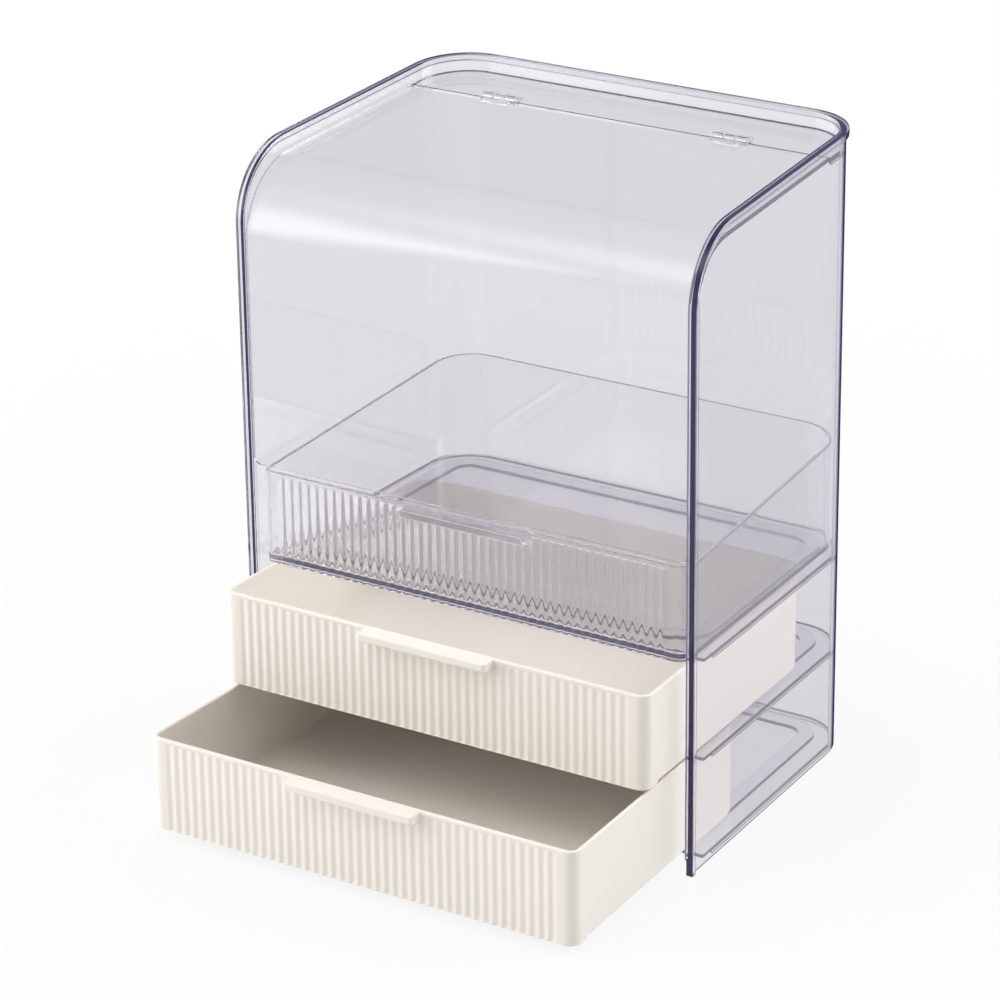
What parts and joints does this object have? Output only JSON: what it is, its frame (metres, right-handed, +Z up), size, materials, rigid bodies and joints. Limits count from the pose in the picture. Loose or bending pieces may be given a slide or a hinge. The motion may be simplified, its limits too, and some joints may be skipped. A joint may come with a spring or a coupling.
{
  "type": "makeup organizer",
  "caption": "Clear countertop makeup organizer with a hinged curved lid over a display space, a clear fluted drawer, and cream fluted drawers below, part open.",
  "frame": {"origin": "middle of the casing's footprint, in the plane of its underside", "axes": "+Z up, +X to the right as seen from the front, -Y to the front, where the drawers pull out"},
  "size_m": [0.2528, 0.2827, 0.3264],
  "materials": {
    "clear_casing": "clear, polished, faint violet tint",
    "clear_lid": "clear, polished",
    "clear_drawer": "clear, polished, faint violet tint",
    "cream_plastic": "cream, satin gloss",
    "pin_steel": "brushed"
  },
  "bodies": {
    "casing": {"casing": "clear_casing", "base_shelf": "clear_casing", "middle_shelf": "clear_casing", "upper_shelf": "clear_casing", "hinge_strip": "clear_lid", "left_strip_leaf": "clear_lid", "right_strip_leaf": "clear_lid", "left_hinge_pin": "pin_steel", "right_hinge_pin": "pin_steel"},
    "lid": {"lid": "clear_lid", "left_lid_leaf": "clear_lid", "right_lid_leaf": "clear_lid"},
    "clear_drawer": {"clear_drawer": "clear_drawer"},
    "upper_drawer": {"upper_drawer": "cream_plastic"},
    "lower_drawer": {"lower_drawer": "cream_plastic"}
  },
  "joints": [
    {"name": "lid_hinge", "type": "hinge", "parent": "casing", "child": "lid", "pos_m": [0, 0.05205, 0.31759], "axis": [-1, 0, 0], "range_deg": [0, 100]},
    {"name": "clear_drawer_slide", "type": "slide", "parent": "casing", "child": "clear_drawer", "axis": [0, -1, 0], "range_m": [0, 0.05]},
    {"name": "upper_drawer_slide", "type": "slide", "parent": "casing", "child": "upper_drawer", "axis": [0, -1, 0], "range_m": [-0.035, 0.095]},
    {"name": "lower_drawer_slide", "type": "slide", "parent": "casing", "child": "lower_drawer", "axis": [0, -1, 0], "range_m": [-0.0995, 0.0305]}
  ]
}
